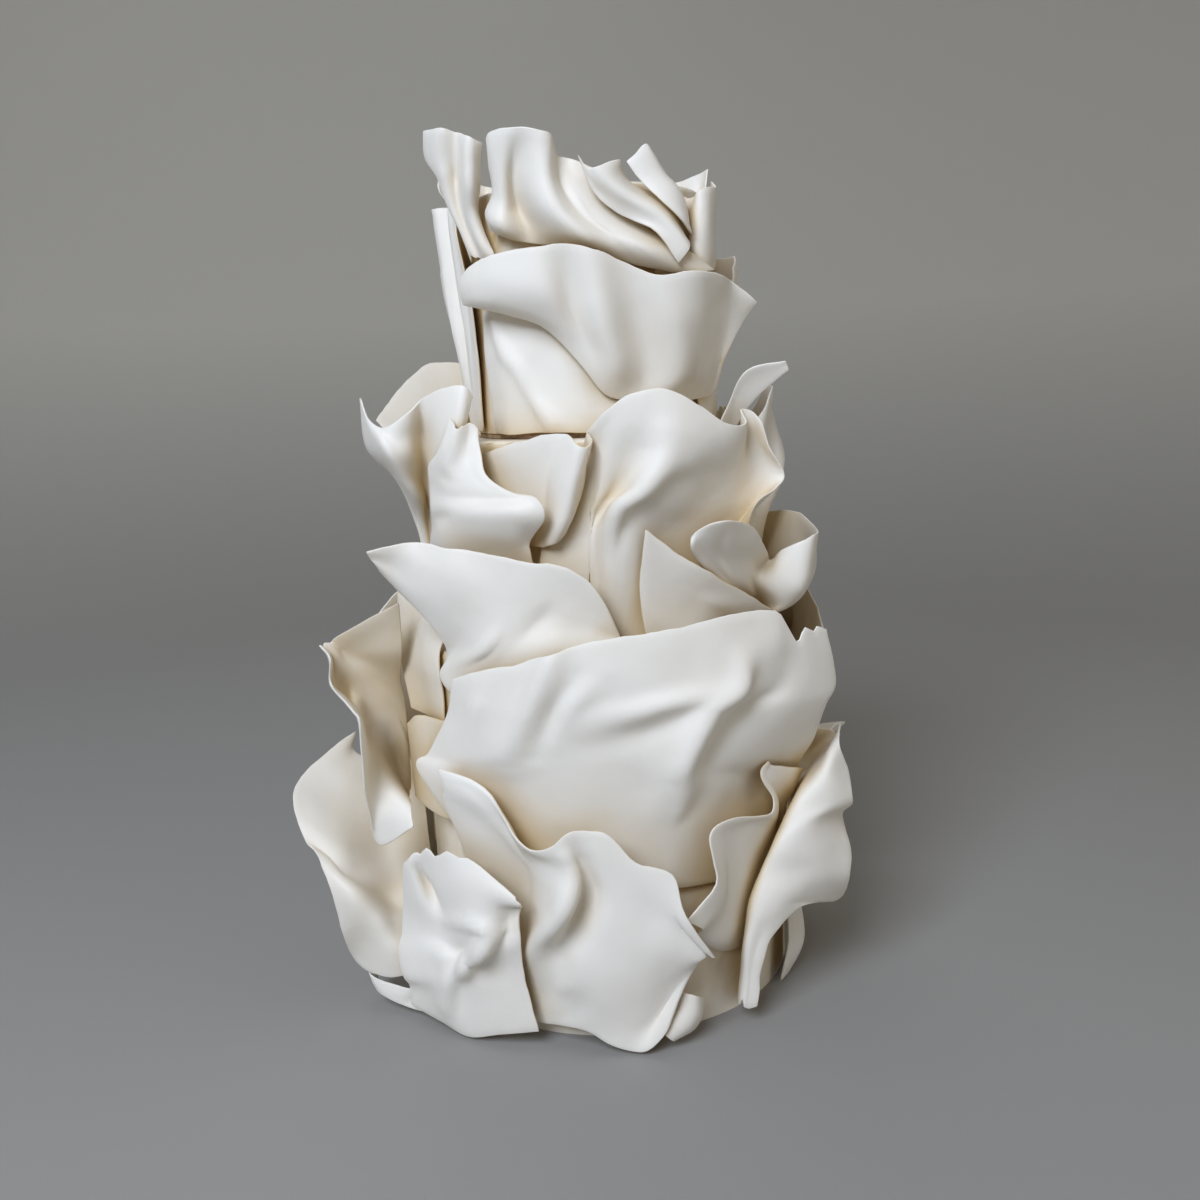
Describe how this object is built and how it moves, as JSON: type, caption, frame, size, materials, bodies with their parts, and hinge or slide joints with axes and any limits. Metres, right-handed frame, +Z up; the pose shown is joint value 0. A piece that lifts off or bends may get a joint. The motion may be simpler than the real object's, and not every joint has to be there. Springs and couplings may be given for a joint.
{
  "type": "tiered wedding cake",
  "caption": "Round tiered wedding cake with a tall bottom tier, wrapped all round in thin, wavy, upward-flaring sheets of ivory icing.",
  "frame": {"origin": "centre of the bottom tier's flat underside, on the surface that the cake stands on", "axes": "+Z up along the axis of the tiers; -Y is the front that the picture shows; +X is the cake's right side seen from the front"},
  "size_m": [0.3969, 0.3338, 0.5693],
  "materials": {
    "icing_sheet": "satin matte ivory rolled icing",
    "icing_tier": "satin matte ivory rolled icing, smoothed flat",
    "cake_card": "plain thin card"
  },
  "bodies": {
    "root": {"tier_bottom": "icing_tier", "tier_middle": "icing_tier", "tier_card": "cake_card", "tier_top": "icing_tier", "left_pleats": "icing_sheet", "front_panel": "icing_sheet", "mid_drape": "icing_sheet", "crown_left": "icing_sheet", "crown_centre": "icing_sheet", "crown_right": "icing_sheet", "crown_point": "icing_sheet", "roll_right": "icing_sheet", "left_back_leaf": "icing_sheet", "left_cup": "icing_sheet", "centre_tube": "icing_sheet", "left_front_lobe": "icing_sheet", "right_big": "icing_sheet", "right_leaf": "icing_sheet", "right_scroll": "icing_sheet", "right_triangle": "icing_sheet", "left_big_leaf": "icing_sheet", "left_twist": "icing_sheet", "left_shade_panel": "icing_sheet", "left_small": "icing_sheet", "left_big_petal": "icing_sheet", "left_base_fold": "icing_sheet", "big_front": "icing_sheet", "right_flap": "icing_sheet", "right_small": "icing_sheet", "right_s": "icing_sheet", "right_ruffle": "icing_sheet", "front_lower": "icing_sheet", "front_curl": "icing_sheet", "left_front_leaf": "icing_sheet", "back_drape_left": "icing_sheet", "back_drape_right": "icing_sheet", "back_crown_left": "icing_sheet", "back_crown_right": "icing_sheet", "back_crown_side": "icing_sheet", "back_middle_right": "icing_sheet", "back_middle_cup": "icing_sheet", "back_middle_left": "icing_sheet", "back_leaf_right": "icing_sheet", "back_leaf_left": "icing_sheet", "back_bottom_right": "icing_sheet", "back_bottom_left": "icing_sheet", "back_ruffle_right": "icing_sheet", "back_ruffle_left": "icing_sheet", "side_leaf_left": "icing_sheet", "side_panel_right": "icing_sheet", "back_panel_right": "icing_sheet", "back_panel_left": "icing_sheet", "back_leaf_low": "icing_sheet"}
  },
  "joints": []
}
